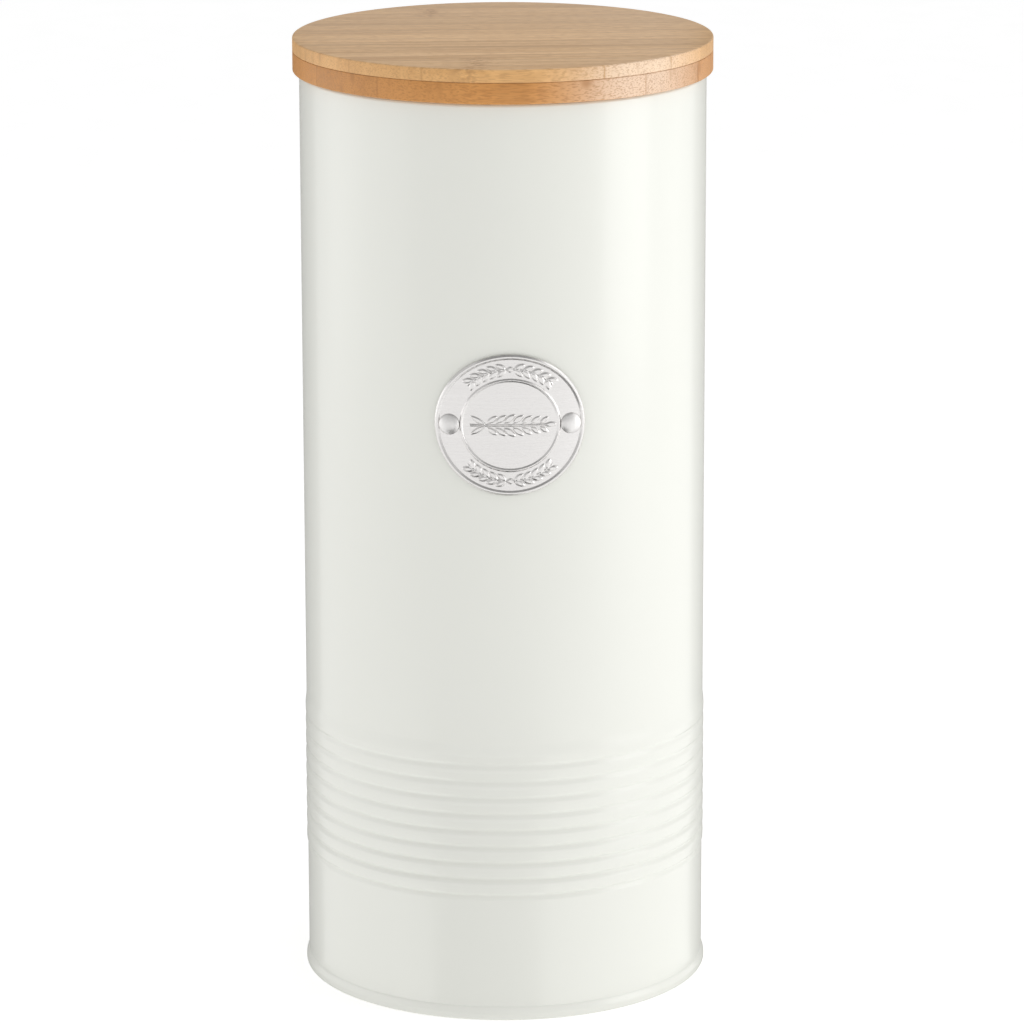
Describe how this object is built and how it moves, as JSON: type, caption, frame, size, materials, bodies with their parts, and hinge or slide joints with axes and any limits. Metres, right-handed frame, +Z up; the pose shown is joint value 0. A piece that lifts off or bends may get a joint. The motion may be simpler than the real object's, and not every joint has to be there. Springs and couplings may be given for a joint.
{
  "type": "food canister",
  "caption": "Tall cylindrical metal food canister with swaged beads near its base, a riveted round badge on the front and a flat two-ply wooden lid that lifts off.",
  "frame": {"origin": "on the canister's axis, on the surface that its base stands on", "axes": "+Z up along the axis towards the lid; the badge faces -Y; +X is to the right seen from the front"},
  "size_m": [0.125, 0.125, 0.2876],
  "materials": {
    "cream_paint": "gloss",
    "badge_steel": "satin",
    "bamboo_light": "satin",
    "bamboo_dark": "satin",
    "silicone": "matt"
  },
  "bodies": {
    "canister": {"canister_body": "cream_paint", "base_pan": "cream_paint", "badge_plate": "badge_steel", "rivet_left": "badge_steel", "rivet_right": "badge_steel"},
    "lid": {"lid_top_strip_1": "bamboo_light", "lid_top_strip_2": "bamboo_light", "lid_top_strip_3": "bamboo_light", "lid_top_strip_4": "bamboo_light", "lid_top_strip_5": "bamboo_light", "lid_top_strip_6": "bamboo_light", "lid_top_strip_7": "bamboo_light", "lid_top_strip_8": "bamboo_light", "lid_top_strip_9": "bamboo_light", "lid_base_strip_1": "bamboo_dark", "lid_base_strip_2": "bamboo_dark", "lid_base_strip_3": "bamboo_dark", "lid_base_strip_4": "bamboo_dark", "lid_base_strip_5": "bamboo_dark", "lid_base_strip_6": "bamboo_dark", "lid_plug": "bamboo_light", "lid_seal": "silicone"}
  },
  "joints": [
    {"name": "lid_lift", "type": "slide", "parent": "canister", "child": "lid", "axis": [0, 0, 1], "range_m": [0, 0.15]}
  ]
}
